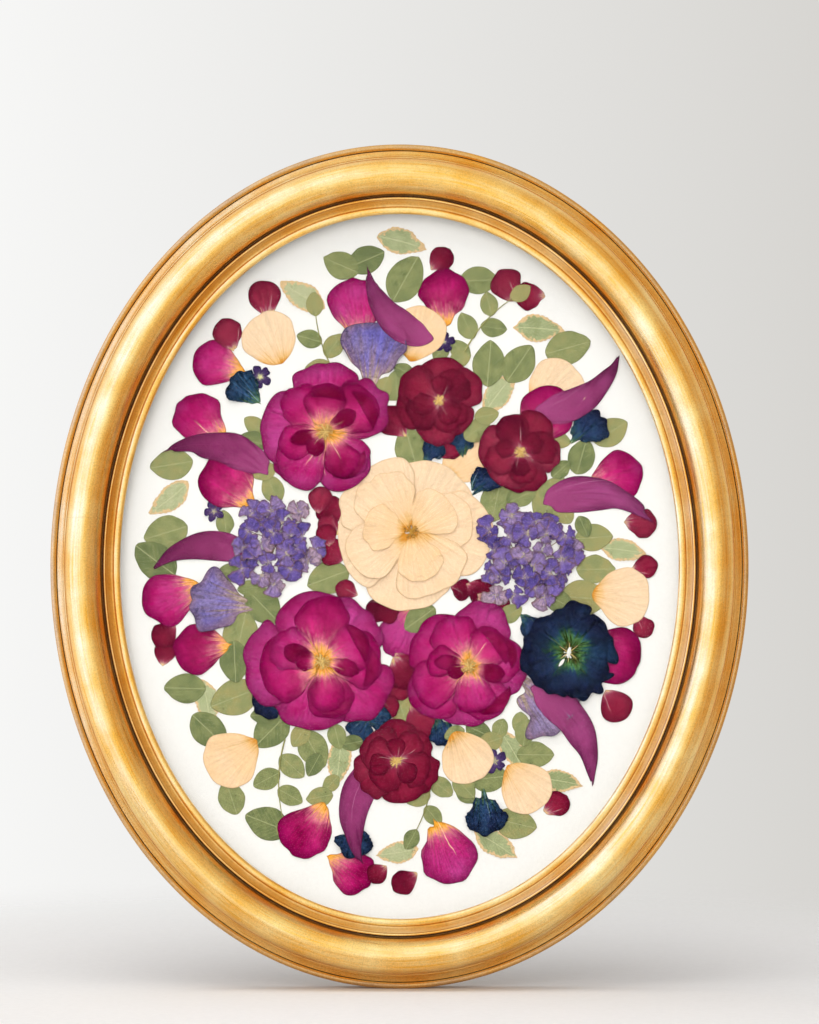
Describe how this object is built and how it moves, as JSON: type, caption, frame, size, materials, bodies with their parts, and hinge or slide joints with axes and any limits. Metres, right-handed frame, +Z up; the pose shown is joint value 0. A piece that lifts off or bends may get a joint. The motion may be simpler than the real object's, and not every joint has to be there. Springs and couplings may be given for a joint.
{
  "type": "pressed flower frame",
  "caption": "Oval gilded wooden frame, glazed, holding pressed roses, hydrangea, lisianthus, loose petals and leaves on white paper; hangs on a wall.",
  "frame": {"origin": "centre of the oval, halfway between the back rim and the front of the moulding", "axes": "+X to the right seen from the front, +Z up, the front faces -Y and the back rim lies against the wall at +Y"},
  "size_m": [0.486, 0.036, 0.5876],
  "materials": {
    "gilded_wood": "satin",
    "glass": "gloss",
    "foam_board": "matte",
    "mount_paper": "matte",
    "hardboard": "matte",
    "steel": "satin",
    "magenta_petal": "matte",
    "burgundy_petal": "matte",
    "cream_petal": "matte",
    "hydrangea_floret": "matte",
    "navy_petal": "matte",
    "delphinium_petal": "matte",
    "calla_petal": "matte",
    "pressed_leaf": "matte"
  },
  "bodies": {
    "root": {"frame_moulding": "gilded_wood", "glass_pane": "glass", "spacer_ring": "foam_board", "mount_board": "mount_paper", "backing_board": "hardboard", "framers_point_1": "steel", "framers_point_2": "steel", "framers_point_3": "steel", "framers_point_4": "steel", "framers_point_5": "steel", "framers_point_6": "steel", "hanger_strap": "steel", "hanger_ring": "steel", "sprig_1": "pressed_leaf", "sprig_2": "pressed_leaf", "sprig_3": "pressed_leaf", "sprig_4": "pressed_leaf", "petal_magenta_1": "magenta_petal", "petal_cream_1": "cream_petal", "ruffle_navy_1": "navy_petal", "petal_magenta_2": "magenta_petal", "petal_cream_2": "cream_petal", "petal_magenta_3": "magenta_petal", "petal_cream_3": "cream_petal", "ruffle_navy_2": "navy_petal", "petal_magenta_4": "magenta_petal", "ruffle_navy_3": "navy_petal", "petal_magenta_5": "magenta_petal", "petal_cream_4": "cream_petal", "petal_magenta_6": "magenta_petal", "petal_magenta_7": "magenta_petal", "petal_magenta_8": "magenta_petal", "ruffle_navy_4": "navy_petal", "petal_cream_5": "cream_petal", "petal_magenta_9": "magenta_petal", "petal_cream_6": "cream_petal", "petal_magenta_10": "magenta_petal", "petal_delphinium_1": "delphinium_petal", "petal_cream_7": "cream_petal", "ruffle_navy_5": "navy_petal", "petal_delphinium_2": "delphinium_petal", "petal_magenta_11": "magenta_petal", "petal_delphinium_3": "delphinium_petal", "calla_1": "calla_petal", "calla_2": "calla_petal", "calla_3": "calla_petal", "calla_4": "calla_petal", "calla_5": "calla_petal", "calla_6": "calla_petal", "calla_7": "calla_petal", "rose_burgundy_1": "burgundy_petal", "rose_burgundy_2": "burgundy_petal", "rose_burgundy_3": "burgundy_petal", "rose_cream": "cream_petal", "hydrangea_left": "hydrangea_floret", "hydrangea_right": "hydrangea_floret", "rose_magenta_1": "magenta_petal", "rose_magenta_2": "magenta_petal", "rose_magenta_3": "magenta_petal", "lisianthus_navy": "navy_petal"}
  },
  "joints": []
}
